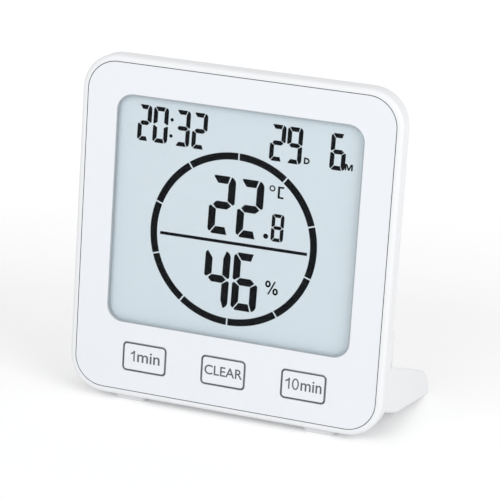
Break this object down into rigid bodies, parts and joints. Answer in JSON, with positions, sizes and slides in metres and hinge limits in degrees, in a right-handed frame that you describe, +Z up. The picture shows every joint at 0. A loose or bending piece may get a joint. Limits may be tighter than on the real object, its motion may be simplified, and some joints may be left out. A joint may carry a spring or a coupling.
{
  "type": "thermo hygrometer",
  "caption": "Square desk thermo-hygrometer with a segment display, a row of timer keys on its face and a stand that folds out of its back.",
  "frame": {"origin": "on the surface that it stands on, under the middle of its box with the stand open", "axes": "+Z up, -Y towards the user, +X to the user's right; the face leans back 2.5 degrees about X"},
  "size_m": [0.079, 0.0403, 0.0837],
  "materials": {
    "case": "white moulded plastic, fine satin",
    "panel": "cool grey-white printed panel, satin",
    "window": "clear acrylic pane",
    "display_glass": "liquid crystal glass, pale blue",
    "reflector": "pale blue-grey reflective film",
    "spacer": "white foam frame",
    "strip_rubber": "layered conductive rubber",
    "board": "green lacquered board",
    "key": "grey-white moulded key, grey print",
    "rear_key": "grey key rubber",
    "spring_steel": "stamped steel",
    "black_plastic": "black moulded resin",
    "sensor_body": "white ceramic-filled resin",
    "cell_steel": "nickel-plated steel",
    "contact_brass": "tinned brass",
    "screw_steel": "zinc-plated steel",
    "pad_rubber": "translucent grey rubber"
  },
  "bodies": {
    "case": {"front_housing": "case", "rear_housing": "case", "face_panel": "panel", "display_window": "window", "lcd_front_glass": "display_glass", "lcd_rear_glass": "display_glass", "lcd_reflector": "reflector", "lcd_spacer": "spacer", "contact_strip": "strip_rubber", "circuit_board": "board", "front_switches": "spring_steel", "rear_switches": "spring_steel", "processor": "black_plastic", "crystal": "spring_steel", "buzzer": "black_plastic", "humidity_sensor": "sensor_body", "cell_holder": "black_plastic", "coin_cell": "cell_steel", "contact_negative": "contact_brass", "contact_positive": "contact_brass", "housing_screws": "screw_steel", "board_screws": "screw_steel", "foot_pads": "pad_rubber"},
    "stand": {"stand": "case", "stand_pins": "screw_steel"},
    "key_1min": {"key_1min": "key"},
    "key_clear": {"key_clear": "key"},
    "key_10min": {"key_10min": "key"},
    "mode_key": {"mode_key": "rear_key"},
    "set_key": {"set_key": "rear_key"},
    "battery_door": {"battery_door": "case"}
  },
  "joints": [
    {"name": "stand_hinge", "type": "hinge", "parent": "case", "child": "stand", "pos_m": [0, -0.01252, 0.01496], "axis": [1, 0, 0], "range_deg": [0, 107]},
    {"name": "key_1min_press", "type": "slide", "parent": "case", "child": "key_1min", "axis": [0, 0.999, -0.0436], "range_m": [0, 0.0004], "stiffness_N_per_m": 900, "springref_m": -0.0003},
    {"name": "key_clear_press", "type": "slide", "parent": "case", "child": "key_clear", "axis": [0, 0.999, -0.0436], "range_m": [0, 0.0004], "stiffness_N_per_m": 900, "springref_m": -0.0003},
    {"name": "key_10min_press", "type": "slide", "parent": "case", "child": "key_10min", "axis": [0, 0.999, -0.0436], "range_m": [0, 0.0004], "stiffness_N_per_m": 900, "springref_m": -0.0003},
    {"name": "mode_key_press", "type": "slide", "parent": "case", "child": "mode_key", "axis": [0, -0.999, 0.0436], "range_m": [0, 0.0004], "stiffness_N_per_m": 900, "springref_m": -0.0003},
    {"name": "set_key_press", "type": "slide", "parent": "case", "child": "set_key", "axis": [0, -0.999, 0.0436], "range_m": [0, 0.0004], "stiffness_N_per_m": 900, "springref_m": -0.0003},
    {"name": "battery_door_turn", "type": "hinge", "parent": "case", "child": "battery_door", "pos_m": [0.017, -0.00707, 0.06627], "axis": [0, 0.999, -0.0436], "range_deg": [0, 45]}
  ]
}
